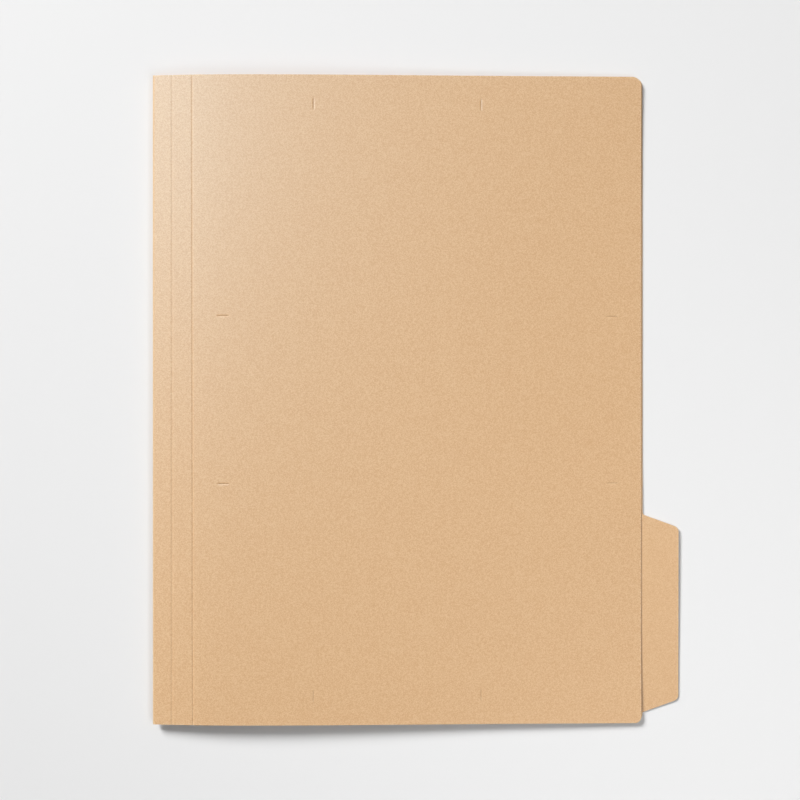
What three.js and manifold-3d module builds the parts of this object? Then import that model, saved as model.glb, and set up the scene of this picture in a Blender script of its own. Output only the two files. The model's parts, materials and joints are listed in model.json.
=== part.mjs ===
// An A4 card paper holder: one die-cut sheet of brown board, scored, folded once and lying closed.
// It is drawn in millimetres with +Z up. The spine fold is at -X, the index tab at +X, and the
// origin is on the table under the middle of the object.
//
// The board is followed along one path, seen from the bottom end of the holder: from the index tab
// to the left along the back cover, round the fold, and to the right over the two gusset strips and
// the front cover. The outer face of the board is on the left of that path all the way.
import * as THREE from "three";
import { mergeVertices } from "three/addons/utils/BufferGeometryUtils.js";
import Module from "manifold-3d";

const wasm = await Module();
wasm.setup();

// Sheet
const boardThickness = 0.45;
const sheetHeight = 310; // along the spine
const frontReach = 234; // from the outside of the fold to the front cover's free edge
const backOverhang = 0.8; // the back cover shows a hair beyond the bowed front cover
const coverCornerRadius = 4.5;

// Index tab, cut in one with the back cover
const tabReach = 17.2; // beyond the back cover's edge
const tabBaseLength = 95.2;
const tabFromBottom = 4.8;
const tabSideAngle = 20; // degrees, how far each side leans in
const tabCornerRadius = 3;
const tabRootRadius = 1.8; // where its upper side leaves the cover
const tabLowerRootRadius = 0.6;

// Main fold, a soft bend held a little off the table by the spring of the board
const foldRadius = 0.875; // to the middle of the board
const foldCentreHeight = 3.3;
const backLiftAngle = 6.5; // degrees, slope of the back cover where it meets the fold

// Gusset strips between the fold and the front cover
const firstStripWidth = 8.4;
const firstStripAngle = 5.3; // degrees above level
const secondStripWidth = 9.95;
const secondStripAngle = 3.8;
const creaseGap = 0.15; // running gap between two panels at a crease
const grooveReach = 0.35; // the scored groove on the outer face, on each side of a crease
const grooveDepth = 0.12;

// Bow of the front cover
const bowStartAngle = 3.6; // degrees, rising from the second score
const bowStartHandle = 33;
const bowEndAngle = 1.7; // degrees, falling to the free edge
const bowEndHandle = 110;
const freeEdgeGap = 0.45; // between the two covers at the free edge

// Slits for the legs of a paper fastener: a pair along each of the four sides of a cover
const slitPitch = 80; // between the two slits of a pair
const slitLength = 6;
const slitWidth = 0.3;
const slitInset = 14; // from the edge or the second score to the middle of a slit

// Steps of the curved stretches
const coverSteps = 26;
const backLiftSteps = 10;
const foldSteps = 14;
const cornerSteps = 6;

const cardColours = { outside: 0xdcb48a, fold: 0xd9b086 };
const cardRoughness = 0.72;

const radians = THREE.MathUtils.degToRad;
const backReach = frontReach + backOverhang;
const overallWidth = backReach + tabReach;
const foldSide = -overallWidth / 2; // X of the outside of the fold
const halfHeight = sheetHeight / 2;
const halfBoard = boardThickness / 2;
const cutMargin = 5; // how far a cutting outline runs past the board
const dieDepth = 20; // how far the die and the slit knives reach above and below the table

// The point at a distance from another, in the direction of an angle in radians.
function moved(point, angle, distance) {
  return new THREE.Vector2(
    point.x + distance * Math.cos(angle),
    point.y + distance * Math.sin(angle),
  );
}

// Directions of travel along the path, in radians
const backEndHeading = Math.PI - radians(backLiftAngle);
const firstHeading = radians(firstStripAngle);
const secondHeading = radians(secondStripAngle);
const bowStartHeading = radians(bowStartAngle);
const bowEndHeading = -radians(bowEndAngle);

// Stations of the path in the middle of the board
const foldCentre = new THREE.Vector2(foldSide + foldRadius + halfBoard, foldCentreHeight);
const foldBottom = moved(foldCentre, backEndHeading + Math.PI / 2, foldRadius);
const foldTop = moved(foldCentre, firstHeading + Math.PI / 2, foldRadius);
const firstScore = moved(foldTop, firstHeading, firstStripWidth);
const secondScore = moved(firstScore, secondHeading, secondStripWidth);
const freeEdge = new THREE.Vector2(
  foldSide + frontReach,
  boardThickness + freeEdgeGap + halfBoard,
);

// The closed outline of the board along curves that follow on, each given as [curve, steps].
// A scored end has its outer edge pressed in.
function boardOutline(stretches, scored = {}) {
  const outer = [];
  const inner = [];
  for (const [curve, steps] of stretches) {
    for (let i = outer.length > 0 ? 1 : 0; i <= steps; i++) {
      const middle = curve.getPoint(i / steps);
      const tangent = curve.getTangent(i / steps);
      const left = new THREE.Vector2(-tangent.y, tangent.x);
      outer.push(middle.clone().addScaledVector(left, halfBoard));
      inner.push(middle.clone().addScaledVector(left, -halfBoard));
    }
  }
  const pressed = [...outer];
  if (scored.start) pressed.splice(0, 1, ...pressedEdge(outer[0], outer[1], inner[0]).reverse());
  if (scored.end) pressed.splice(-1, 1, ...pressedEdge(outer.at(-1), outer.at(-2), inner.at(-1)));
  return new THREE.Shape([...pressed, ...inner.reverse()]);
}

// The shoulder and the bottom of half a scored groove, in place of an outer corner of the board.
function pressedEdge(corner, neighbour, innerCorner) {
  const along = neighbour.clone().sub(corner).normalize();
  const down = innerCorner.clone().sub(corner).normalize();
  const shoulder = corner.clone().addScaledVector(along, grooveReach);
  const bottom = corner.clone().addScaledVector(down, grooveDepth);
  return [shoulder, bottom];
}

// Extrudes an outline drawn in X and Z over the height of the sheet.
function alongSpine(outline) {
  const geometry = new THREE.ExtrudeGeometry(outline, { depth: sheetHeight, bevelEnabled: false });
  geometry.rotateX(Math.PI / 2);
  geometry.translate(0, halfHeight, 0);
  return geometry;
}

// Extrudes an outline drawn in X and Y through the whole board, as a cutting die does.
function throughBoard(outline) {
  const geometry = new THREE.ExtrudeGeometry(outline, { depth: 2 * dieDepth, bevelEnabled: false });
  geometry.translate(0, 0, -dieDepth);
  return geometry;
}

// Gives a closed geometry as a solid, and a solid as a geometry.
function solidFrom(geometry) {
  const bare = geometry.clone();
  bare.deleteAttribute("normal");
  bare.deleteAttribute("uv");
  const merged = mergeVertices(bare, 1e-4);
  return new wasm.Manifold(
    new wasm.Mesh({
      numProp: 3,
      vertProperties: new Float32Array(merged.attributes.position.array),
      triVerts: new Uint32Array(merged.index.array),
    }),
  );
}

function geometryFrom(solid) {
  const mesh = solid.getMesh();
  const geometry = new THREE.BufferGeometry();
  geometry.setAttribute("position", new THREE.BufferAttribute(mesh.vertProperties, mesh.numProp));
  geometry.setIndex(new THREE.BufferAttribute(mesh.triVerts, 1));
  geometry.computeVertexNormals();
  return geometry;
}

// Draws a closed outline through corners [x, y, radius], each corner rounded by its radius.
function roundedOutline(corners) {
  const points = [];
  corners.forEach(([x, y, radius = 0], i) => {
    const corner = new THREE.Vector2(x, y);
    const before = new THREE.Vector2(...corners.at(i - 1));
    const after = new THREE.Vector2(...corners[(i + 1) % corners.length]);
    const arrive = corner.clone().sub(before).normalize();
    const leave = after.sub(corner).normalize();
    const turn = Math.atan2(arrive.cross(leave), arrive.dot(leave));
    const setback = radius * Math.tan(Math.abs(turn) / 2);
    const arcStart = corner.clone().addScaledVector(arrive, -setback);
    const toCentre = Math.atan2(arrive.y, arrive.x) + (Math.sign(turn) * Math.PI) / 2;
    const centre = moved(arcStart, toCentre, radius);
    const steps = radius > 0 ? cornerSteps : 0;
    for (let k = 0; k <= steps; k++) {
      const swept = steps > 0 ? (turn * k) / steps : 0;
      points.push(moved(centre, toCentre + Math.PI + swept, radius));
    }
  });
  return new THREE.Shape(points);
}

// Cuts a cover out of its bent board: the outline, then the four pairs of fastener slits. A pair
// beside the spine or the free edge lies across the sheet and is centred on its height; a pair at
// the top or bottom lies along it and is centred on its width.
function dieCut(board, outline) {
  const middleX = foldSide + frontReach / 2;
  const spineX = secondScore.x + slitInset;
  const edgeX = freeEdge.x - slitInset;
  const endY = halfHeight - slitInset;
  let sheet = solidFrom(board).intersect(solidFrom(throughBoard(outline)));
  for (const offset of [-slitPitch / 2, slitPitch / 2]) {
    for (const x of [spineX, edgeX]) {
      sheet = sheet.subtract(slitKnife(x, offset, slitLength, slitWidth));
    }
    for (const y of [-endY, endY]) {
      sheet = sheet.subtract(slitKnife(middleX + offset, y, slitWidth, slitLength));
    }
  }
  return geometryFrom(sheet);
}

// A thin knife that cuts one slit right through.
function slitKnife(x, y, lengthX, lengthY) {
  const knife = new THREE.BoxGeometry(lengthX, lengthY, 2 * dieDepth);
  knife.translate(x, y, 0);
  return solidFrom(knife);
}

function panel(name, geometry, color) {
  const material = new THREE.MeshStandardMaterial({
    color,
    roughness: cardRoughness,
    metalness: 0,
  });
  const mesh = new THREE.Mesh(geometry, material);
  mesh.name = name;
  return mesh;
}

// Back cover with its index tab. It lies flat, and curves up to the fold near the spine.
function backCover() {
  const end = moved(foldBottom, backEndHeading, -creaseGap);
  const liftLength = (2 * (end.y - halfBoard)) / Math.tan(radians(backLiftAngle));
  const lift = new THREE.QuadraticBezierCurve(
    new THREE.Vector2(end.x + liftLength, halfBoard),
    new THREE.Vector2(end.x + liftLength / 2, halfBoard),
    end,
  );
  const edgeX = foldSide + backReach;
  const tabX = edgeX + tabReach;
  const flat = new THREE.LineCurve(new THREE.Vector2(tabX + cutMargin, halfBoard), lift.v0);
  const board = alongSpine(boardOutline([[flat, 1], [lift, backLiftSteps]]));

  const tabBottom = -halfHeight + tabFromBottom;
  const tabTop = tabBottom + tabBaseLength;
  const lean = tabReach * Math.tan(radians(tabSideAngle));
  const outline = roundedOutline([
    [foldSide - cutMargin, -halfHeight],
    [edgeX, -halfHeight, Math.min(coverCornerRadius, tabFromBottom - tabLowerRootRadius)],
    [edgeX, tabBottom, tabLowerRootRadius],
    [tabX, tabBottom + lean, tabCornerRadius],
    [tabX, tabTop - lean, tabCornerRadius],
    [edgeX, tabTop, tabRootRadius],
    [edgeX, halfHeight, coverCornerRadius],
    [foldSide - cutMargin, halfHeight],
  ]);
  return panel("back_cover", dieCut(board, outline), cardColours.outside);
}

// The rounded web of board that turns from the back cover to the first strip.
function mainFold() {
  const start = backEndHeading + Math.PI / 2;
  const end = firstHeading + Math.PI / 2;
  const bend = new THREE.EllipseCurve(
    foldCentre.x,
    foldCentre.y,
    foldRadius,
    foldRadius,
    start,
    end,
    true,
  );
  return panel("main_fold", alongSpine(boardOutline([[bend, foldSteps]])), cardColours.fold);
}

// A flat strip between two creases, with a scored groove where a score bounds it.
function gussetStrip(name, from, to, heading, gaps, scored) {
  const middle = new THREE.LineCurve(
    moved(from, heading, gaps[0]),
    moved(to, heading, -gaps[1]),
  );
  return panel(name, alongSpine(boardOutline([[middle, 1]], scored)), cardColours.outside);
}

// Front cover: bowed from the second score to its free edge, with rounded free corners.
function frontCover() {
  const start = moved(secondScore, bowStartHeading, creaseGap / 2);
  const bow = new THREE.CubicBezierCurve(
    start,
    moved(start, bowStartHeading, bowStartHandle),
    moved(freeEdge, bowEndHeading, -bowEndHandle),
    moved(freeEdge, bowEndHeading, boardThickness),
  );
  const outline = roundedOutline([
    [foldSide, -halfHeight],
    [freeEdge.x, -halfHeight, coverCornerRadius],
    [freeEdge.x, halfHeight, coverCornerRadius],
    [foldSide, halfHeight],
  ]);
  const board = alongSpine(boardOutline([[bow, coverSteps]], { start: true }));
  return panel("front_cover", dieCut(board, outline), cardColours.outside);
}

const holder = new THREE.Group();
holder.name = "card_paper_holder";
holder.add(backCover());
holder.add(mainFold());
holder.add(
  gussetStrip(
    "inner_gusset_strip",
    foldTop,
    firstScore,
    firstHeading,
    [creaseGap, creaseGap / 2],
    { end: true },
  ),
);
holder.add(
  gussetStrip(
    "outer_gusset_strip",
    firstScore,
    secondScore,
    secondHeading,
    [creaseGap / 2, creaseGap / 2],
    { start: true, end: true },
  ),
);
holder.add(frontCover());

export default holder;
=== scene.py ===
# An A4 holder of plain brown card, cut from one sheet, scored, folded and lying closed on a pale
# table. The board is cut flat first, as five pieces that meet at the creases. A node tree then
# presses the scores and slits into it and bends it along the path of the folded sheet. Lengths are
# in metres.
import json
import math

import bpy
import numpy as np
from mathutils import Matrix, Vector
from mathutils.geometry import delaunay_2d_cdt


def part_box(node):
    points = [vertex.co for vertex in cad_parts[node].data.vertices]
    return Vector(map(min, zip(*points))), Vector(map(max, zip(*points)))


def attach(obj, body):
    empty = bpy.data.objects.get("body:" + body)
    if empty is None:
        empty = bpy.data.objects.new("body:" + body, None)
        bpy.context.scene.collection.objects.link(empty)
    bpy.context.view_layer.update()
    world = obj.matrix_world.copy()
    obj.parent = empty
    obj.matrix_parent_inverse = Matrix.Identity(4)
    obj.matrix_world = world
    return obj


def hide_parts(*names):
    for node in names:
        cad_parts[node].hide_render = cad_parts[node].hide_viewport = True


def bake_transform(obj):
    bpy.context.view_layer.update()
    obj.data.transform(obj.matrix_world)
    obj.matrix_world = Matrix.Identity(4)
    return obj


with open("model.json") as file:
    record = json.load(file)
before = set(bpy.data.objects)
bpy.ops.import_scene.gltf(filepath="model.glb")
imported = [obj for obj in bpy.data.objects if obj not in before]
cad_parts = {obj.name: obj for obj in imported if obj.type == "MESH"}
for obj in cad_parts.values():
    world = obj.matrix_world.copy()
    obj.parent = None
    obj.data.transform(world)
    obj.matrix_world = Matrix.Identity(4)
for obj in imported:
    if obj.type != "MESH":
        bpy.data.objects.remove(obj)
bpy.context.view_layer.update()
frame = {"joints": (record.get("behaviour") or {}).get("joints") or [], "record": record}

MM = 0.001

# Places and sizes read from the frame
joints = {joint["name"]: joint for joint in frame["joints"]}
mounts = {mount["name"]: mount for mount in frame["record"]["mounts"]}
board = mounts["tab_label_face"]["pos_m"][2]
fold_centre = np.array(joints["cover_opening"]["pos_m"])[[0, 2]]
fold_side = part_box("main_fold")[0].x
tab_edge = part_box("back_cover")[1].x
free_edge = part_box("front_cover")[1].x
half_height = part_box("front_cover")[1].y
fold_radius = fold_centre[0] - fold_side - board / 2

# Shape of the folded sheet, seen from its bottom end
BACK_LIFT_ANGLE = math.radians(6.5)
FIRST_STRIP_WIDTH = 8.4 * MM
FIRST_STRIP_ANGLE = math.radians(5.3)
SECOND_STRIP_WIDTH = 9.95 * MM
SECOND_STRIP_ANGLE = math.radians(3.8)
BOW_START_ANGLE = math.radians(3.6)
BOW_START_HANDLE = 33 * MM
BOW_END_ANGLE = math.radians(1.7)
BOW_END_HANDLE = 110 * MM
FREE_EDGE_GAP = 0.45 * MM

# Outline of the covers and the index tab
COVER_CORNER_RADIUS = 4.5 * MM
COVER_LOWER_CORNER_RADIUS = 3.1 * MM
TAB_REACH = 17.2 * MM
TAB_BASE_LENGTH = 95.2 * MM
TAB_FROM_BOTTOM = 4.8 * MM
TAB_SIDE_ANGLE = math.radians(20)
TAB_CORNER_RADIUS = 3 * MM
TAB_ROOT_RADIUS = 1.8 * MM
TAB_LOWER_ROOT_RADIUS = 0.6 * MM

# Fastener slits
SLIT_PITCH = 80 * MM
SLIT_LENGTH = 6 * MM
SLIT_INSET = 14 * MM
SLIT_GAP = 0.06 * MM
SLIT_SIDE_STEPS = 12

# Seams between the pieces, and how far the fold's piece reaches past the bend on each side
SEAM_BEFORE_SCORE = 1.6 * MM
WEB_OVERHANG = 0.25 * MM

# Rounding of the cut edges, and how far in they are worn
EDGE_ROUNDING = 0.06 * MM
SLIT_ROUNDING = 0.03 * MM
WEAR_REACH = 0.9 * MM

# Fineness of the path and of the flat mesh. SCORE_COLUMNS are in millimetres from a score, and
# MITRE_FROM is the sine of the turn from which a corner is mitred.
BEND_STEPS = 60
COVER_STEPS = 160
ARC_STEPS = 10
GRID = 3 * MM
GRID_CLEARANCE = GRID / 3
OUTLINE_CLEARANCE = 0.4 * MM
CUT_EDGE_CLEARANCE = 1.6 * MM
SLIT_CLEARANCE = 1.7 * MM
EDGE_RINGS = (0.35 * MM, 1.0 * MM)
RING_KEPT_FROM = 0.9
SLIT_RINGS = (0.14 * MM, 0.32 * MM, 0.6 * MM, 1.1 * MM)
SLIT_TIP_SPREAD = 1.2
SLIT_TIP_POINTS = 5
SCORE_COLUMNS = (-1.0, -0.6, -0.4, -0.25, -0.12, 0.0, 0.12, 0.25, 0.45, 0.7, 1.0, 1.5)
WEB_COLUMNS = 17
CREASE_COLUMNS = 7
CREASE_COLUMN_GAP = 0.1 * MM
MITRE_FROM = 0.05
TINY = 1e-9

# Grain of the card, in millimetres. FIBRES holds the turn, length and width of each layer, and
# the sheet's inner side, which the index tab shows, has less of the mottle.
CLOUD_SCALE = 0.09
CLOUD_SHARE = 0.22
MOTTLE_SCALE = 2.4
FIBRES = ((0.35, 2.6, 0.13), (1.45, 2.1, 0.11), (2.5, 3.0, 0.14), (3.3, 1.6, 0.1))
STRAND_SHARE = 0.35
STRAND_RELIEF = 0.6
FLECK_SCALE = 0.22
FLECK_START = 0.02
FLECK_END = 0.05
INNER_SIDE_MOTTLE = 0.58

# Colours laid over the grain: rare flecks, worn cut edges, painted sheen and shade on the rounded
# fold, and painted shade in the pressed lines and beside the slits
FLECK_COLOUR = (0.28, 0.15, 0.07, 1)
FLECK_SHARE = 0.22
WORN_SHARE = 0.6
# Painted sheen and shade: the rounded fold is painted greyer and duller
FOLD_SHEEN_SHADE_COLOUR = (0.585, 0.487, 0.32, 1)
FOLD_SHEEN_SHADE_SHARE = 0.7
# Painted shade: the pressed lines and the board beside the slits are painted darker
PRESSED_SHADE_COLOUR = (0.42, 0.24, 0.12, 1)
PRESSED_SHADE_SHARE = 0.12
ROUGHNESS_SPREAD = 0.1

# Camera, straight above the table
CAMERA_HEIGHT = 570 * MM
CAMERA_AIM = Vector((-7.8 * MM, -0.05 * MM, 0))
FIELD_WIDTH = 385 * MM
SENSOR_WIDTH = 36

# Table, backdrop and room
FLOOR_REACH = 4.0
FLOOR_LEVEL = -0.02 * MM
FLOOR_COLOUR = (0.85, 0.85, 0.85, 1)
FLOOR_FADE_START = 0.3
FLOOR_FADE_END = 0.6
BACKDROP_LEVEL = 0.85
ROOM_LIGHT = 0.03
WHITE = (1, 1, 1, 1)
WINDOW_COLOUR = (0.359, 0.769, 1.0)


def unit(vector):
    return vector / np.linalg.norm(vector)


def heading(angle):
    return np.array((math.cos(angle), math.sin(angle)))


# Path of the folded sheet


def bezier(points, steps):
    """Points along a Bezier curve of any degree."""
    share = np.linspace(0, 1, steps + 1)[:, None]
    degree = len(points) - 1
    return sum(
        math.comb(degree, k) * (1 - share) ** (degree - k) * share**k * np.array(point)
        for k, point in enumerate(points)
    )


def folded_path():
    """The middle of the board in X and Z, from the index tab to the front cover's free edge, and
    the distance along it of each place that the pieces need."""
    back_heading = math.pi - BACK_LIFT_ANGLE
    fold_start = fold_centre + fold_radius * heading(back_heading + math.pi / 2)
    fold_end = fold_centre + fold_radius * heading(FIRST_STRIP_ANGLE + math.pi / 2)
    first_score = fold_end + FIRST_STRIP_WIDTH * heading(FIRST_STRIP_ANGLE)
    second_score = first_score + SECOND_STRIP_WIDTH * heading(SECOND_STRIP_ANGLE)
    cover_end = np.array((free_edge, board * 1.5 + FREE_EDGE_GAP))
    table = board / 2
    lift_length = 2 * (fold_start[1] - table) / math.tan(BACK_LIFT_ANGLE)
    lift_start = np.array((fold_start[0] + lift_length, table))
    lift_corner = np.array((fold_start[0] + lift_length / 2, table))
    first_turn, last_turn = back_heading + math.pi / 2, FIRST_STRIP_ANGLE + math.pi / 2
    turned = np.linspace(first_turn, last_turn, BEND_STEPS + 1)
    bend = np.stack([fold_centre + fold_radius * heading(angle) for angle in turned])
    stretches = {
        "tab": np.array([(tab_edge, table), lift_start]),
        "lift": bezier([lift_start, lift_corner, fold_start], BEND_STEPS),
        "fold": bend,
        "first strip": np.array([fold_end, first_score]),
        "second strip": np.array([first_score, second_score]),
        "cover": bezier(
            [
                second_score,
                second_score + BOW_START_HANDLE * heading(BOW_START_ANGLE),
                cover_end - BOW_END_HANDLE * heading(-BOW_END_ANGLE),
                cover_end,
            ],
            COVER_STEPS,
        ),
    }
    points, marks = [stretches["tab"][0]], {}
    travelled = 0.0
    for name, stretch in stretches.items():
        travelled += np.linalg.norm(np.diff(stretch, axis=0), axis=1).sum()
        marks[name + " end"] = travelled
        points.extend(stretch[1:])
    return np.array(points), marks


path, marks = folded_path()
path_distance = np.concatenate(([0], np.cumsum(np.linalg.norm(np.diff(path, axis=0), axis=1))))
leftmost = int(np.argmin(path[:, 0]))


def on_back(x):
    """The distance along the path at which the back cover is at x."""
    return float(np.interp(-x, -path[:leftmost, 0], path_distance[:leftmost]))


def on_front(x):
    """The distance along the path at which the front cover or a strip is at x."""
    return float(np.interp(x, path[leftmost:, 0], path_distance[leftmost:]))


def path_curve():
    """The path as a curve for the node tree to follow."""
    curve = bpy.data.curves.new("folded_path", "CURVE")
    curve.dimensions = "3D"
    spline = curve.splines.new("POLY")
    spline.points.add(len(path) - 1)
    for point, (x, z) in zip(spline.points, path):
        point.co = (x, 0, z, 1)
    made = bpy.data.objects.new("folded_path", curve)
    bpy.context.scene.collection.objects.link(made)
    return made


# Cutting the flat board


def divided(start, end, columns):
    """Points between the two ends of a straight edge: one at each column that it crosses, and
    others at about the grid's spacing."""
    gap = end - start
    crossed = [(x - start[0]) / gap[0] for x in columns] if abs(gap[0]) > TINY else []
    crossed = [share for share in crossed if 0 < share < 1]
    parts = max(1, round(np.linalg.norm(gap) / GRID))
    close = GRID_CLEARANCE / np.linalg.norm(gap)
    even = [k / parts for k in range(1, parts)]
    even = [share for share in even if all(abs(share - other) > close for other in crossed)]
    return [start + gap * share for share in sorted(crossed + even)]


def traced(corners, columns):
    """The points of a closed outline through corners (x, y, radius, cut), anticlockwise. cut says
    whether the edge that leaves the corner is a cut one, and not a seam to the next piece. Returns
    the points and, for each, whether the edge after it is cut."""
    arcs = []
    for i, (x, y, radius, _) in enumerate(corners):
        corner = np.array((x, y))
        arrive = unit(corner - np.array(corners[i - 1][:2]))
        leave = unit(np.array(corners[(i + 1) % len(corners)][:2]) - corner)
        turn = math.atan2(arrive[0] * leave[1] - arrive[1] * leave[0], float(arrive @ leave))
        start = corner - arrive * radius * math.tan(abs(turn) / 2)
        side = math.copysign(1, turn)
        centre = start + radius * side * np.array((-arrive[1], arrive[0]))
        first = math.atan2(*(start - centre)[::-1]) if radius else 0
        steps = ARC_STEPS if radius else 0
        angles = [first + turn * k / max(steps, 1) for k in range(steps + 1)]
        arcs.append([centre + radius * heading(angle) for angle in angles])
    points, cut_after = [], []
    for i, arc in enumerate(arcs):
        cut = corners[i][3]
        points.extend(arc)
        cut_after.extend([True] * (len(arc) - 1) + [cut])
        between = divided(arc[-1], arcs[(i + 1) % len(arcs)][0], columns)
        points.extend(between)
        cut_after.extend([cut] * len(between))
    return np.array(points), np.array(cut_after)


def inset(points, widths):
    """A closed outline with each edge moved into the board by its own width. The board lies on the
    left of the outline."""
    along = np.roll(points, -1, 0) - points
    along /= np.linalg.norm(along, axis=1)[:, None]
    after = np.stack((-along[:, 1], along[:, 0]), 1)
    before = np.roll(after, 1, 0)
    width_after, width_before = widths, np.roll(widths, 1)
    cross = before[:, 0] * after[:, 1] - before[:, 1] * after[:, 0]
    bent = np.abs(cross) > MITRE_FROM
    safe = np.where(bent, cross, 1)
    shift = np.stack(
        (
            (width_before * after[:, 1] - width_after * before[:, 1]) / safe,
            (width_after * before[:, 0] - width_before * after[:, 0]) / safe,
        ),
        1,
    )
    between = before + after
    between /= np.linalg.norm(between, axis=1)[:, None]
    straight = between * np.maximum(width_before, width_after)[:, None]
    return points + np.where(bent[:, None], shift, straight)


def distance_to(points, starts, ends):
    """The distance from each point to the nearest of some line segments."""
    points = np.asarray(points, float)
    nearest = np.full(len(points), np.inf)
    for start, end in zip(starts, ends):
        along = end - start
        share = np.clip((points - start) @ along / (along @ along), 0, 1)
        gap = np.linalg.norm(points - start - share[:, None] * along, axis=1)
        nearest = np.minimum(nearest, gap)
    return nearest


def slit_outline(centre, direction):
    """The lens-shaped hole of one slit, clockwise, so that the board is on its left."""
    across = np.array((-direction[1], direction[0]))
    places = np.linspace(-1, 1, SLIT_SIDE_STEPS + 1)
    half = SLIT_GAP / 2 * (1 - places**2)
    upper = [centre + direction * SLIT_LENGTH / 2 * a + across * h for a, h in zip(places, half)]
    lower = [centre + direction * SLIT_LENGTH / 2 * a - across * h for a, h in zip(places, half)]
    return np.array(upper + lower[-2:0:-1])


def slit_ring(centre, direction, distance):
    """Points at one distance all round a slit."""
    across = np.array((-direction[1], direction[0]))
    places = np.linspace(-1, 1, 2 * SLIT_SIDE_STEPS + 1) * SLIT_LENGTH / 2
    sides = [centre + direction * a + across * distance * side for a in places for side in (-1, 1)]
    tips = [
        centre + direction * SLIT_LENGTH / 2 * side + distance * side * (
            direction * math.cos(turn) + across * math.sin(turn)
        )
        for side in (-1, 1)
        for turn in np.linspace(-SLIT_TIP_SPREAD, SLIT_TIP_SPREAD, SLIT_TIP_POINTS)
    ]
    return np.array(sides + tips)


def die_cut(name, corners, slits=(), columns=()):
    """A flat closed piece of board in the sheet's own plane: X runs along the path, Y along the
    spine, and the outer face is up. The cut edges are rounded a little, and the seams aren't."""
    outline, cut_after = traced(corners, columns)
    loops = [(outline, np.where(cut_after, EDGE_ROUNDING, 0))]
    for centre, direction in slits:
        hole = slit_outline(centre, direction)
        loops.append((hole, np.full(len(hole), SLIT_ROUNDING)))
    outline_ends = np.roll(outline, -1, 0)
    edges_start = outline[cut_after]
    edges_end = outline_ends[cut_after]

    # Points inside the outline: rings beside the cut edges and the slits, and a grid elsewhere
    inner_points = []
    for ring in EDGE_RINGS:
        candidates = inset(outline, np.where(cut_after, ring, 0))
        apart = distance_to(candidates, outline, outline_ends) > RING_KEPT_FROM * ring
        inner_points.extend(candidates[apart])
    for centre, direction in slits:
        for ring in SLIT_RINGS:
            inner_points.extend(slit_ring(centre, direction, ring))
    low, high = outline.min(0), outline.max(0)
    across = np.arange(low[0] + GRID / 2, high[0], GRID)
    across = [x for x in across if all(abs(x - column) > GRID_CLEARANCE for column in columns)]
    rows = np.linspace(low[1], high[1], round((high[1] - low[1]) / GRID) + 1)
    grid = np.array([(x, y) for x in sorted([*across, *columns]) for y in rows])
    inside = distance_to(grid, outline, outline_ends) > OUTLINE_CLEARANCE
    inside &= distance_to(grid, edges_start, edges_end) > CUT_EDGE_CLEARANCE
    for centre, direction in slits:
        reach = direction * SLIT_LENGTH / 2
        inside &= distance_to(grid, [centre - reach], [centre + reach]) > SLIT_CLEARANCE
    inner_points.extend(grid[inside])

    # Triangles of one face
    flat, constraints, owner = [], [], []
    for number, (loop, widths) in enumerate(loops):
        first = len(flat)
        flat.extend(inset(loop, widths))
        constraints.extend((first + k, first + (k + 1) % len(loop)) for k in range(len(loop)))
        owner.extend([number] * len(loop))
    edge_count = len(flat)
    flat.extend(inner_points)
    owner.extend([-1] * len(inner_points))
    _, _, faces, sources, _, _ = delaunay_2d_cdt(
        [Vector(point) for point in flat], constraints, [], 1, TINY
    )
    source = [min(inputs) for inputs in sources]
    triangles = [[source[k] for k in face] for face in faces]
    triangles = [
        face for face in triangles if not (owner[face[0]] > 0 and len({owner[k] for k in face}) == 1)
    ]

    # Both faces, and between them the rounded rims of the outline and of each slit
    flat = np.array(flat)
    outer = np.column_stack((flat, np.full(len(flat), board / 2)))
    inner = np.column_stack((flat, np.full(len(flat), -board / 2)))
    nominal = np.concatenate([loop for loop, _ in loops])
    shoulder = np.concatenate([np.maximum(widths, np.roll(widths, 1)) for _, widths in loops])
    upper_rim = np.column_stack((nominal, board / 2 - shoulder))
    lower_rim = np.column_stack((nominal, shoulder - board / 2))
    count = len(flat)
    bases = (0, 2 * count, 2 * count + edge_count, count)
    polygons = [list(face) for face in triangles]
    polygons += [[count + k for k in reversed(face)] for face in triangles]
    rim_start = len(polygons)
    for upper, lower in zip(bases, bases[1:]):
        for a, b in constraints:
            polygons.append([upper + a, lower + a, lower + b, upper + b])
    mesh = bpy.data.meshes.new(name)
    vertices = np.concatenate((outer, inner, upper_rim, lower_rim))
    mesh.from_pydata(vertices.tolist(), [], polygons, shade_flat=False)

    # Marks for the materials and for the shading
    worn = np.clip(1 - distance_to(vertices[:, :2], edges_start, edges_end) / WEAR_REACH, 0, 1)
    mesh.attributes.new("worn", "FLOAT", "POINT").data.foreach_set("value", worn.astype(np.float32))
    rim = mesh.attributes.new("rim", "BOOLEAN", "FACE")
    rim.data.foreach_set("value", [k >= rim_start for k in range(len(mesh.polygons))])
    face_edges = {frozenset((base + a, base + b)) for base in (0, count) for a, b in constraints}
    sharp = mesh.attributes.new("sharp_edge", "BOOLEAN", "EDGE")
    sharp.data.foreach_set("value", [frozenset(edge.vertices) in face_edges for edge in mesh.edges])
    return mesh


# Node helpers


def add(tree, kind, inputs=None, **settings):
    """A new node with its settings and inputs. An input is a value, or another node's output."""
    node = tree.nodes.new(kind)
    for name, value in settings.items():
        setattr(node, name, value)
    for name, value in (inputs or {}).items():
        if isinstance(value, bpy.types.NodeSocket):
            tree.links.new(value, node.inputs[name])
        else:
            node.inputs[name].default_value = value
    return node


def calculate(tree, operation, *values):
    inputs = dict(enumerate(values))
    return add(tree, "ShaderNodeMath", inputs, operation=operation).outputs[0]


def calculate_vector(tree, operation, first, second):
    inputs = {0: first, "Scale" if operation == "SCALE" else 1: second}
    return add(tree, "ShaderNodeVectorMath", inputs, operation=operation).outputs["Vector"]


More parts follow.
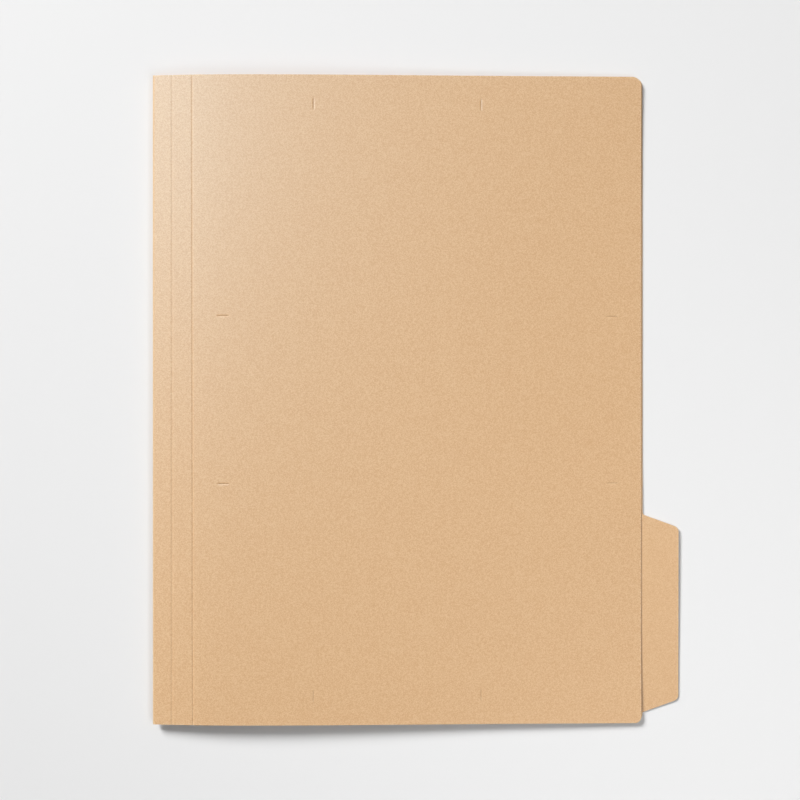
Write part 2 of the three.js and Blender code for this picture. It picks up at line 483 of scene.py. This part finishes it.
def eased(tree, value, start, end, low=0.0, high=1.0):
    """A smooth step from low at start to high at end."""
    inputs = {"Value": value, "From Min": start, "From Max": end, "To Min": low, "To Max": high}
    return add(tree, "ShaderNodeMapRange", inputs, interpolation_type="SMOOTHSTEP").outputs[0]


def ramp(tree, value, start, end, power):
    """0 at start and 1 at end, rising as a power of the distance from start."""
    inputs = {"Value": value, "From Min": start, "From Max": end}
    share = add(tree, "ShaderNodeMapRange", inputs).outputs[0]
    return calculate(tree, "POWER", share, power)


def node_group(name, kind, inputs, outputs):
    """An empty group with named inputs {name: (kind, default)} and outputs {name: kind}."""
    tree = bpy.data.node_groups.new(name, kind)
    for title, (socket, default) in inputs.items():
        made = tree.interface.new_socket(title, in_out="INPUT", socket_type="NodeSocket" + socket)
        if default is not None:
            made.default_value = default
    for title, socket in outputs.items():
        tree.interface.new_socket(title, in_out="OUTPUT", socket_type="NodeSocket" + socket)
    return tree, tree.nodes.new("NodeGroupInput").outputs, tree.nodes.new("NodeGroupOutput").inputs


# Folding the board


def scored_line():
    """A line pressed into the board: a steep wall on the fold's side and a gentler one beyond."""
    tree, given, result = node_group(
        "scored_line",
        "GeometryNodeTree",
        {
            "Distance": ("Float", 0),
            "Place": ("Float", 0),
            "Near Wall": ("Float", 0.4 * MM),
            "Far Wall": ("Float", 0.9 * MM),
            "Depth": ("Float", 0.1 * MM),
        },
        {"Drop": "Float", "Mask": "Float"},
    )
    start = calculate(tree, "SUBTRACT", given["Place"], given["Near Wall"])
    end = calculate(tree, "ADD", given["Place"], given["Far Wall"])
    near = eased(tree, given["Distance"], start, given["Place"])
    far = eased(tree, given["Distance"], given["Place"], end, 1.0, 0.0)
    mask = calculate(tree, "MULTIPLY", near, far)
    tree.links.new(mask, result["Mask"])
    tree.links.new(calculate(tree, "MULTIPLY", mask, given["Depth"]), result["Drop"])
    return tree


def folding_tree():
    """Presses, lifts and bends a flat piece of board along the folded path."""
    tree, given, result = node_group(
        "fold_board",
        "GeometryNodeTree",
        {
            "Board": ("Geometry", None),
            "Path": ("Object", None),
            "Slits": ("Object", None),
            "Slit Length": ("Float", 4.8 * MM),
            "Slit Depth": ("Float", 0.14 * MM),
            "Slit Reach": ("Float", 0.5 * MM),
            "Fold Middle": ("Float", (marks["lift end"] + marks["fold end"]) / 2),
            "Fold Half Width": ("Float", (marks["fold end"] - marks["lift end"]) / 2),
            "First Score": ("Float", marks["first strip end"]),
            "First Score Near Wall": ("Float", 0.6 * MM),
            "First Score Far Wall": ("Float", 1.0 * MM),
            "First Score Depth": ("Float", 0.098 * MM),
            "Second Score": ("Float", marks["second strip end"]),
            "Second Score Near Wall": ("Float", 0.5 * MM),
            "Second Score Far Wall": ("Float", 0.75 * MM),
            "Second Score Depth": ("Float", 0.132 * MM),
            "Second Score Slant": ("Float", 0.0013),
            "Score Unevenness": ("Float", 0.5),
            "Score Unevenness Scale": ("Float", 260.0),
            "Score Taper": ("Float", 0.25),
            "Free Edge": ("Float", marks["cover end"]),
            "Curl Reach": ("Float", 90 * MM),
            "Middle Lift": ("Float", -0.42 * MM),
            "Upper Corner Lift": ("Float", 0.9 * MM),
            "Upper Corner From": ("Float", 40 * MM),
            "Upper Corner Power": ("Float", 3.0),
            "Lower Corner Lift": ("Float", 1.0 * MM),
            "Lower Corner From": ("Float", -85 * MM),
            "Lower Corner Power": ("Float", 2.5),
            "Tab Lift": ("Float", 0.95 * MM),
            "Tab Lift Reach": ("Float", 41 * MM),
            "Tab Lift Power": ("Float", 2.0),
            "Tab Reach": ("Float", TAB_REACH),
            "Tab Top": ("Float", TAB_FROM_BOTTOM + TAB_BASE_LENGTH - half_height),
            "Tab Bottom": ("Float", TAB_FROM_BOTTOM - half_height),
            "Tab Bottom Share": ("Float", 0.3),
            "Tab Fade": ("Float", 30 * MM),
            "Card": ("Material", None),
            "Cut Edge": ("Material", None),
        },
        {"Folded": "Geometry"},
    )
    place = add(tree, "GeometryNodeInputPosition").outputs[0]
    flat = add(tree, "ShaderNodeSeparateXYZ", {0: place}).outputs
    distance, height, depth = flat["X"], flat["Y"], flat["Z"]

    # Scored lines, a little uneven along their length and deeper towards the bottom
    along = add(tree, "ShaderNodeCombineXYZ", {"Y": height}).outputs[0]
    rough = add(
        tree,
        "ShaderNodeTexNoise",
        {"Vector": along, "Scale": given["Score Unevenness Scale"], "Detail": 3.0},
    )
    rough = calculate(tree, "SUBTRACT", rough.outputs[0], 0.5)
    taper = calculate(tree, "MULTIPLY", given["Score Taper"], -1 / half_height)
    taper = calculate(tree, "MULTIPLY_ADD", height, taper, 1.0)
    rough = calculate(tree, "MULTIPLY_ADD", rough, given["Score Unevenness"], taper)
    slanted = calculate(tree, "MULTIPLY_ADD", height, given["Second Score Slant"], distance)
    score = scored_line()
    first, second = (
        add(
            tree,
            "GeometryNodeGroup",
            {
                "Distance": across,
                "Place": given[name],
                "Near Wall": given[name + " Near Wall"],
                "Far Wall": given[name + " Far Wall"],
                "Depth": calculate(tree, "MULTIPLY", given[name + " Depth"], rough),
            },
            node_tree=score,
        )
        for name, across in (("First Score", distance), ("Second Score", slanted))
    )

    # Slits: one line for each mark, and the board sinks a little towards it
    marks_info = add(tree, "GeometryNodeObjectInfo", {"Object": given["Slits"]})
    half = calculate(tree, "DIVIDE", given["Slit Length"], 2.0)
    line_start = add(tree, "ShaderNodeCombineXYZ", {"X": calculate(tree, "MULTIPLY", half, -1.0)})
    line_end = add(tree, "ShaderNodeCombineXYZ", {"X": half})
    line = add(
        tree,
        "GeometryNodeCurvePrimitiveLine",
        {"Start": line_start.outputs[0], "End": line_end.outputs[0]},
    )
    line = add(tree, "GeometryNodeCurveToMesh", {"Curve": line.outputs[0]})
    turn = add(tree, "GeometryNodeInputNamedAttribute", {"Name": "turn"}, data_type="FLOAT")
    turn = add(tree, "ShaderNodeCombineXYZ", {"Z": turn.outputs["Attribute"]})
    lines = add(
        tree,
        "GeometryNodeInstanceOnPoints",
        {
            "Points": marks_info.outputs["Geometry"],
            "Instance": line.outputs[0],
            "Rotation": turn.outputs[0],
        },
    )
    lines = add(tree, "GeometryNodeRealizeInstances", {0: lines.outputs[0]})
    on_face = add(tree, "ShaderNodeCombineXYZ", {"X": distance, "Y": height})
    near = add(
        tree,
        "GeometryNodeProximity",
        {0: lines.outputs[0], "Sample Position": on_face.outputs[0]},
        target_element="EDGES",
    )
    pressed = eased(tree, near.outputs["Distance"], 0.0, given["Slit Reach"], 1.0, 0.0)
    pressed = calculate(tree, "MULTIPLY", pressed, near.outputs["Is Valid"])
    slit_drop = calculate(tree, "MULTIPLY", pressed, given["Slit Depth"])

    # The free edge of the front cover curls: low in the middle, higher at its corners. The tab
    # stands up a little from the table, most at its upper end, and lifts the edge that lies on it.
    fade_end = calculate(tree, "ADD", given["Tab Top"], given["Tab Fade"])
    beside_tab = eased(tree, height, fade_end, given["Tab Top"])
    tab_share = eased(tree, height, given["Tab Bottom"], given["Tab Top"], given["Tab Bottom Share"])
    tab_share = calculate(tree, "MULTIPLY", tab_share, beside_tab)
    tab_share = calculate(tree, "MULTIPLY", tab_share, given["Tab Lift"])
    tab_lift = ramp(tree, distance, given["Tab Lift Reach"], 0.0, given["Tab Lift Power"])
    tab_lift = calculate(tree, "MULTIPLY", tab_lift, tab_share)
    root_lift = ramp(
        tree, given["Tab Reach"], given["Tab Lift Reach"], 0.0, given["Tab Lift Power"]
    )
    upper = ramp(
        tree, height, given["Upper Corner From"], half_height, given["Upper Corner Power"]
    )
    lower = ramp(
        tree, height, given["Lower Corner From"], -half_height, given["Lower Corner Power"]
    )
    curl = calculate(tree, "MULTIPLY_ADD", upper, given["Upper Corner Lift"], given["Middle Lift"])
    curl = calculate(tree, "MULTIPLY_ADD", lower, given["Lower Corner Lift"], curl)
    curl = calculate(tree, "MULTIPLY_ADD", root_lift, tab_share, curl)
    curl_start = calculate(tree, "SUBTRACT", given["Free Edge"], given["Curl Reach"])
    share = eased(tree, distance, curl_start, given["Free Edge"])
    curl = calculate(tree, "MULTIPLY", share, curl)
    curl = calculate(tree, "SUBTRACT", curl, tab_lift)

    # Bending along the path
    drop = calculate(tree, "ADD", first.outputs["Drop"], second.outputs["Drop"])
    drop = calculate(tree, "ADD", drop, slit_drop)
    out = calculate(tree, "ADD", calculate(tree, "SUBTRACT", depth, drop), curl)
    path_info = add(tree, "GeometryNodeObjectInfo", {"Object": given["Path"]})
    sample = add(
        tree,
        "GeometryNodeSampleCurve",
        {"Curves": path_info.outputs["Geometry"], "Length": distance},
        mode="LENGTH",
    )
    ahead = add(tree, "ShaderNodeSeparateXYZ", {0: sample.outputs["Tangent"]}).outputs
    outwards = add(
        tree,
        "ShaderNodeCombineXYZ",
        {"X": calculate(tree, "MULTIPLY", ahead["Z"], -1.0), "Z": ahead["X"]},
    )
    outwards = calculate_vector(tree, "SCALE", outwards.outputs[0], out)
    bent = calculate_vector(tree, "ADD", sample.outputs["Position"], along)
    bent = calculate_vector(tree, "ADD", bent, outwards)

    # The flat place, the mask of the rounded fold for its painted sheen and shade, and the mask of
    # the pressed lines and slits for their painted shade stay on the board for its materials
    fold_line = add(
        tree,
        "GeometryNodeGroup",
        {
            "Distance": distance,
            "Place": given["Fold Middle"],
            "Near Wall": given["Fold Half Width"],
            "Far Wall": given["Fold Half Width"],
        },
        node_tree=score,
    )
    mask = calculate(tree, "ADD", first.outputs["Mask"], second.outputs["Mask"])
    mask = calculate(tree, "ADD", mask, pressed)
    board_shape = given["Board"]
    for name, kind, value in (
        ("on_sheet", "FLOAT_VECTOR", place),
        ("rubbed", "FLOAT", fold_line.outputs["Mask"]),
        ("pressed", "FLOAT", mask),
    ):
        board_shape = add(
            tree,
            "GeometryNodeStoreNamedAttribute",
            {"Geometry": board_shape, "Name": name, "Value": value},
            data_type=kind,
        ).outputs[0]
    shape = add(tree, "GeometryNodeSetPosition", {0: board_shape, "Position": bent})
    shape = add(tree, "GeometryNodeRealizeInstances", {0: shape.outputs[0]})
    shape = add(tree, "GeometryNodeSetMaterial", {0: shape.outputs[0], "Material": given["Card"]})
    rim = add(tree, "GeometryNodeInputNamedAttribute", {"Name": "rim"}, data_type="BOOLEAN")
    shape = add(
        tree,
        "GeometryNodeSetMaterial",
        {
            0: shape.outputs[0],
            "Selection": rim.outputs["Attribute"],
            "Material": given["Cut Edge"],
        },
    )
    tree.links.new(shape.outputs[0], result["Folded"])
    return tree


def slit_marks(name, slits):
    """One vertex for each slit, with its turn about Z, for the folding tree."""
    mesh = bpy.data.meshes.new(name)
    mesh.from_pydata([(*centre, 0) for centre, _ in slits], [], [])
    turn = mesh.attributes.new("turn", "FLOAT", "POINT")
    turn.data.foreach_set("value", [math.atan2(y, x) for _, (x, y) in slits])
    made = bpy.data.objects.new(name, mesh)
    bpy.context.scene.collection.objects.link(made)
    return made


def folded(mesh, tree, inputs):
    """The flat board as a plain object in its folded shape."""
    blank = bpy.data.objects.new(mesh.name + "_blank", mesh)
    bpy.context.scene.collection.objects.link(blank)
    modifier = blank.modifiers.new("fold", "NODES")
    modifier.node_group = tree
    for item in tree.interface.items_tree:
        if item.in_out == "INPUT" and item.name in inputs:
            modifier[item.identifier] = inputs[item.name]
    depsgraph = bpy.context.evaluated_depsgraph_get()
    shape = bpy.data.meshes.new_from_object(
        blank.evaluated_get(depsgraph), preserve_all_data_layers=True, depsgraph=depsgraph
    )
    bpy.data.objects.remove(blank)
    shape.name = mesh.name
    piece = bpy.data.objects.new(mesh.name, shape)
    bpy.context.scene.collection.objects.link(piece)
    return piece


# Materials


def fibre_layer():
    """Thin strands that run one way: a noise drawn out along the turned X axis."""
    tree, given, result = node_group(
        "fibre_layer",
        "ShaderNodeTree",
        {
            "Place": ("Vector", None),
            "Turn": ("Float", 0),
            "Length": ("Float", 2.5),
            "Width": ("Float", 0.12),
            "Threshold": ("Float", 0.67),
            "Softness": ("Float", 0.16),
        },
        {"Strands": "Float"},
    )
    turned = add(
        tree,
        "ShaderNodeVectorRotate",
        {"Vector": given["Place"], "Angle": given["Turn"]},
        rotation_type="Z_AXIS",
    )
    squeeze = add(
        tree,
        "ShaderNodeCombineXYZ",
        {
            "X": calculate(tree, "DIVIDE", 1.0, given["Length"]),
            "Y": calculate(tree, "DIVIDE", 1.0, given["Width"]),
            "Z": 1.0,
        },
    )
    drawn = calculate_vector(tree, "MULTIPLY", turned.outputs[0], squeeze.outputs[0])
    strands = add(
        tree,
        "ShaderNodeTexNoise",
        {"Vector": drawn, "Scale": 1.0, "Detail": 1.0, "Roughness": 0.4, "Distortion": 0.25},
    )
    full = calculate(tree, "ADD", given["Threshold"], given["Softness"])
    strands = eased(tree, strands.outputs[0], given["Threshold"], full)
    tree.links.new(strands, result["Strands"])
    return tree


def card_grain():
    """The look of pressed fibres: a slow cloudiness, a fine mottle, strands and rare dark flecks.
    It works in millimetres."""
    tree, given, result = node_group(
        "card_grain",
        "ShaderNodeTree",
        {
            "Place": ("Vector", None),
            "Clouds": ("Float", 0.5),
            "Mottle": ("Float", 0.5),
            "Strands": ("Float", 0.5),
        },
        {"Tone": "Float", "Relief": "Float", "Flecks": "Float"},
    )
    place = calculate_vector(tree, "SCALE", given["Place"], 1 / MM)
    clouds = add(tree, "ShaderNodeTexNoise", {"Vector": place, "Scale": CLOUD_SCALE, "Detail": 3.0})
    mottle = add(
        tree,
        "ShaderNodeTexNoise",
        {"Vector": place, "Scale": MOTTLE_SCALE, "Detail": 3.0, "Roughness": 0.6},
    )
    layer = fibre_layer()
    strands = None
    for turn, length, width in FIBRES:
        made = add(
            tree,
            "ShaderNodeGroup",
            {"Place": place, "Turn": turn, "Length": length, "Width": width},
            node_tree=layer,
        ).outputs[0]
        strands = made if strands is None else calculate(tree, "MAXIMUM", strands, made)
    cloud_tone = calculate(tree, "SUBTRACT", clouds.outputs[0], 0.5)
    mottle_tone = calculate(tree, "SUBTRACT", mottle.outputs[0], 0.5)
    tone = calculate(tree, "MULTIPLY_ADD", cloud_tone, given["Clouds"], 0.5)
    tone = calculate(tree, "MULTIPLY_ADD", mottle_tone, given["Mottle"], tone)
    tone = calculate(tree, "MULTIPLY_ADD", strands, given["Strands"], tone)
    relief = calculate(tree, "MULTIPLY_ADD", strands, STRAND_RELIEF, mottle.outputs[0])
    spots = add(
        tree,
        "ShaderNodeTexVoronoi",
        {"Vector": place, "Scale": FLECK_SCALE, "Randomness": 1.0},
        feature="F1",
    )
    flecks = eased(tree, spots.outputs["Distance"], FLECK_START, FLECK_END, 1.0, 0.0)
    tree.links.new(tone, result["Tone"])
    tree.links.new(relief, result["Relief"])
    tree.links.new(flecks, result["Flecks"])
    return tree


def attribute(tree, name, output="Fac"):
    return add(tree, "ShaderNodeAttribute", attribute_name=name).outputs[output]


def mixed(tree, share, first, second):
    """A share of the second colour over the first. A Mix node keeps its colours in sockets 6, 7
    and 2."""
    inputs = {0: share, 6: first, 7: second}
    return add(tree, "ShaderNodeMix", inputs, data_type="RGBA").outputs[2]


def card_material(name, grain, dark, light, worn_colour, roughness, bump, mottle):
    """Uncoated card with a soft sheen. The cut edges are worn. The rounded fold is painted greyer and
    duller, a painted sheen and shade, and the pressed lines and slits are painted a little darker, a
    painted shade."""
    made = bpy.data.materials.new(name)
    made.use_nodes = True
    tree = made.node_tree
    shader = tree.nodes["Principled BSDF"]
    shader.inputs["IOR"].default_value = 1.5
    shader.inputs["Specular IOR Level"].default_value = 0.5
    place = attribute(tree, "on_sheet", "Vector")
    side = add(tree, "ShaderNodeSeparateXYZ", {0: place}).outputs["Z"]
    strength = eased(tree, side, -board / 2, board / 2, INNER_SIDE_MOTTLE * mottle, mottle)
    surface = add(
        tree,
        "ShaderNodeGroup",
        {"Place": place, "Clouds": CLOUD_SHARE, "Mottle": strength, "Strands": STRAND_SHARE},
        node_tree=grain,
    ).outputs
    colour = mixed(tree, surface["Tone"], dark, light)
    flecks = calculate(tree, "MULTIPLY", surface["Flecks"], FLECK_SHARE)
    colour = mixed(tree, flecks, colour, FLECK_COLOUR)
    worn = calculate(tree, "POWER", attribute(tree, "worn"), 2.0)
    worn = calculate(tree, "MULTIPLY", worn, calculate(tree, "MULTIPLY", surface["Tone"], WORN_SHARE))
    colour = mixed(tree, worn, colour, worn_colour)
    # Painted sheen and shade: the rounded fold is painted greyer and duller
    rubbed = calculate(tree, "MULTIPLY", attribute(tree, "rubbed"), FOLD_SHEEN_SHADE_SHARE)
    colour = mixed(tree, rubbed, colour, FOLD_SHEEN_SHADE_COLOUR)
    # Painted shade: the pressed lines and the board beside the slits are painted darker
    pressed = calculate(tree, "MULTIPLY", attribute(tree, "pressed"), PRESSED_SHADE_SHARE)
    colour = mixed(tree, pressed, colour, PRESSED_SHADE_COLOUR)
    tree.links.new(colour, shader.inputs["Base Color"])
    uneven = calculate(tree, "SUBTRACT", surface["Relief"], 0.5)
    uneven = calculate(tree, "MULTIPLY_ADD", uneven, ROUGHNESS_SPREAD, roughness)
    tree.links.new(uneven, shader.inputs["Roughness"])
    relief = add(
        tree,
        "ShaderNodeBump",
        {"Height": surface["Relief"], "Strength": 1.0, "Distance": bump},
    )
    tree.links.new(relief.outputs[0], shader.inputs["Normal"])
    return made


# Camera, table and light


def seen_directly(tree):
    """1 for a ray that shows the background, in the view itself or in a gloss or glass, and 0 for
    a ray that only gathers light."""
    path_kind = add(tree, "ShaderNodeLightPath").outputs
    seen = calculate(tree, "MAXIMUM", path_kind["Is Camera Ray"], path_kind["Is Glossy Ray"])
    return calculate(tree, "MAXIMUM", seen, path_kind["Is Transmission Ray"])


def add_camera():
    data = bpy.data.cameras.new("camera")
    data.sensor_width = SENSOR_WIDTH
    data.lens = data.sensor_width * CAMERA_HEIGHT / FIELD_WIDTH
    camera = bpy.data.objects.new("camera", data)
    camera.location = CAMERA_AIM + Vector((0, 0, CAMERA_HEIGHT))
    bpy.context.scene.collection.objects.link(camera)
    bpy.context.scene.camera = camera


def add_floor():
    """A pale table that keeps the shadow near the holder and runs into the backdrop far from it."""
    mesh = bpy.data.meshes.new("floor")
    sides = ((-1, -1), (1, -1), (1, 1), (-1, 1))
    corners = [(x * FLOOR_REACH, y * FLOOR_REACH, FLOOR_LEVEL) for x, y in sides]
    mesh.from_pydata(corners, [], [(0, 1, 2, 3)])
    made = bpy.data.objects.new("floor", mesh)
    bpy.context.scene.collection.objects.link(made)
    material = bpy.data.materials.new("pale_table")
    material.use_nodes = True
    tree = material.node_tree
    shader = tree.nodes["Principled BSDF"]
    shader.inputs["Base Color"].default_value = FLOOR_COLOUR
    shader.inputs["Roughness"].default_value = 0.9
    shader.inputs["Specular IOR Level"].default_value = 0.0
    spot = add(tree, "ShaderNodeTexCoord").outputs["Object"]
    distance = add(tree, "ShaderNodeVectorMath", {0: spot}, operation="LENGTH").outputs["Value"]
    far = eased(tree, distance, FLOOR_FADE_START, FLOOR_FADE_END)
    share = calculate(tree, "MULTIPLY", far, seen_directly(tree))
    glow = add(tree, "ShaderNodeEmission", {"Color": WHITE, "Strength": BACKDROP_LEVEL})
    surface = add(tree, "ShaderNodeMixShader", {0: share, 1: shader.outputs[0], 2: glow.outputs[0]})
    tree.links.new(surface.outputs[0], tree.nodes["Material Output"].inputs["Surface"])
    material.cycles.emission_sampling = "NONE"
    mesh.materials.append(material)


def add_lamp(name, place, diameter, power, colour=(1, 1, 1), diffuse=True, glossy=True):
    """A round soft lamp that faces the middle of the table. It may light the matt part of a finish,
    its gloss, or both."""
    data = bpy.data.lights.new(name, "AREA")
    data.shape = "DISK"
    data.size = diameter
    data.energy = power
    data.color = colour
    lamp = bpy.data.objects.new(name, data)
    lamp.location = place
    lamp.rotation_mode = "QUATERNION"
    lamp.rotation_quaternion = Vector(place).to_track_quat("Z", "Y")
    lamp.visible_camera = False
    lamp.visible_diffuse = diffuse
    lamp.visible_glossy = glossy
    bpy.context.scene.collection.objects.link(lamp)


def add_light():
    """A soft key lamp at the upper left, a cool window above it for the sheen alone, two weak fills
    from the right, and the room's own light behind a pale backdrop."""
    add_lamp("key", place=(-1.84, 1.98, 1.7), diameter=1.25, power=140.0, glossy=False)
    add_lamp(
        "window",
        place=(-0.75, 0.70, 1.5),
        diameter=1.0,
        power=59.3,
        colour=WINDOW_COLOUR,
        diffuse=False,
    )
    add_lamp("lower_fill", place=(0.246, -0.282, 0.5), diameter=0.35, power=1.14, glossy=False)
    add_lamp("upper_fill", place=(0.3, 0.3, 0.8), diameter=0.5, power=0.55, glossy=False)
    world = bpy.data.worlds.new("studio")
    world.use_nodes = True
    tree = world.node_tree
    room = tree.nodes["Background"]
    room.inputs["Strength"].default_value = ROOM_LIGHT
    room.inputs["Color"].default_value = WHITE
    backdrop = add(tree, "ShaderNodeBackground", {"Color": WHITE, "Strength": BACKDROP_LEVEL})
    shown = add(
        tree,
        "ShaderNodeMixShader",
        {0: seen_directly(tree), 1: room.outputs[0], 2: backdrop.outputs[0]},
    )
    tree.links.new(shown.outputs[0], tree.nodes["World Output"].inputs["Surface"])
    bpy.context.scene.world = world


bpy.context.scene.view_settings.view_transform = "Standard"
add_camera()
add_floor()
add_light()

# The finish of the faces and of the cut edges
grain = card_grain()
card = card_material(
    "kraft_card",
    grain,
    dark=(0.6315, 0.3625, 0.1735, 1),
    light=(0.7355, 0.4855, 0.2595, 1),
    worn_colour=(0.86, 0.64, 0.42, 1),
    roughness=0.5,
    bump=0.005 * MM,
    mottle=6.2,
)
cut_edge = card_material(
    "cut_card_edge",
    grain,
    dark=(0.50, 0.30, 0.15, 1),
    light=(0.74, 0.52, 0.33, 1),
    worn_colour=(0.78, 0.57, 0.38, 1),
    roughness=0.85,
    bump=0.03 * MM,
    mottle=1.0,
)

# Layout of the pieces along the sheet
cover_edge = on_back(tab_edge - TAB_REACH)
fold_start = marks["lift end"]
fold_end = marks["fold end"]
web_start = fold_start - WEB_OVERHANG
web_end = fold_end + WEB_OVERHANG
strip_seam = marks["first strip end"] - SEAM_BEFORE_SCORE
cover_seam = marks["second strip end"] - SEAM_BEFORE_SCORE
free_end = marks["cover end"]
spine_x = path[np.searchsorted(path_distance, marks["second strip end"]), 0]


def slit_places(to_distance):
    """The centre and direction of each slit of a cover, beside the spine and the free edge and at
    the top and bottom."""
    along_path, along_spine = np.array((1.0, 0.0)), np.array((0.0, 1.0))
    middle = (fold_side + free_edge) / 2
    end = half_height - SLIT_INSET
    places = []
    for offset in (-SLIT_PITCH / 2, SLIT_PITCH / 2):
        for x in (spine_x + SLIT_INSET, free_edge - SLIT_INSET):
            places.append((np.array((to_distance(x), offset)), along_path))
        for y in (-end, end):
            places.append((np.array((to_distance(middle + offset), y)), along_spine))
    return places


def strip_corners(start, end):
    """A full-height strip with a seam on each side."""
    return [
        (start, -half_height, 0, True),
        (end, -half_height, 0, False),
        (end, half_height, 0, True),
        (start, half_height, 0, False),
    ]


def back_cover_corners():
    lean = TAB_REACH * math.tan(TAB_SIDE_ANGLE)
    tab_bottom = TAB_FROM_BOTTOM - half_height
    tab_top = tab_bottom + TAB_BASE_LENGTH
    return [
        (web_start, half_height, 0, True),
        (cover_edge, half_height, COVER_CORNER_RADIUS, True),
        (cover_edge, tab_top, TAB_ROOT_RADIUS, True),
        (0, tab_top - lean, TAB_CORNER_RADIUS, True),
        (0, tab_bottom + lean, TAB_CORNER_RADIUS, True),
        (cover_edge, tab_bottom, TAB_LOWER_ROOT_RADIUS, True),
        (cover_edge, -half_height, TAB_FROM_BOTTOM - TAB_LOWER_ROOT_RADIUS, True),
        (web_start, -half_height, 0, False),
    ]


def front_cover_corners():
    return [
        (cover_seam, -half_height, 0, True),
        (free_end, -half_height, COVER_LOWER_CORNER_RADIUS, True),
        (free_end, half_height, COVER_CORNER_RADIUS, True),
        (cover_seam, half_height, 0, False),
    ]


def score_columns(place):
    return [place + column * MM for column in SCORE_COLUMNS]


back_slits = slit_places(on_back)
front_slits = slit_places(on_front)
web_columns = list(np.linspace(fold_start, fold_end, WEB_COLUMNS))
crease_columns = [web_end + k * CREASE_COLUMN_GAP for k in range(1, CREASE_COLUMNS + 1)]
flat_pieces = {
    "back_cover": die_cut("back_cover_board", back_cover_corners(), back_slits),
    "main_fold": die_cut("main_fold_board", strip_corners(web_start, web_end), columns=web_columns),
    "inner_gusset_strip": die_cut(
        "inner_gusset_strip_board", strip_corners(web_end, strip_seam), columns=crease_columns
    ),
    "outer_gusset_strip": die_cut(
        "outer_gusset_strip_board",
        strip_corners(strip_seam, cover_seam),
        columns=score_columns(marks["first strip end"]),
    ),
    "front_cover": die_cut(
        "front_cover_board",
        front_cover_corners(),
        front_slits,
        score_columns(marks["second strip end"]),
    ),
}

follow = path_curve()
slit_objects = {
    "back_cover": slit_marks("back_slits", back_slits),
    "front_cover": slit_marks("front_slits", front_slits),
}
fold_board = folding_tree()
pieces = {}
for node, mesh in flat_pieces.items():
    inputs = {"Path": follow, "Card": card, "Cut Edge": cut_edge}
    if node in slit_objects:
        inputs["Slits"] = slit_objects[node]
    pieces[node] = folded(mesh, fold_board, inputs)
for helper in (follow, *slit_objects.values()):
    bpy.data.objects.remove(helper)


# Each piece stands for the node of its name, whose part is hidden
for node, piece in pieces.items():
    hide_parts(node)
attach(pieces["back_cover"], "back_cover")
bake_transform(pieces["main_fold"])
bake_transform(pieces["inner_gusset_strip"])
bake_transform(pieces["outer_gusset_strip"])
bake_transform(pieces["front_cover"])
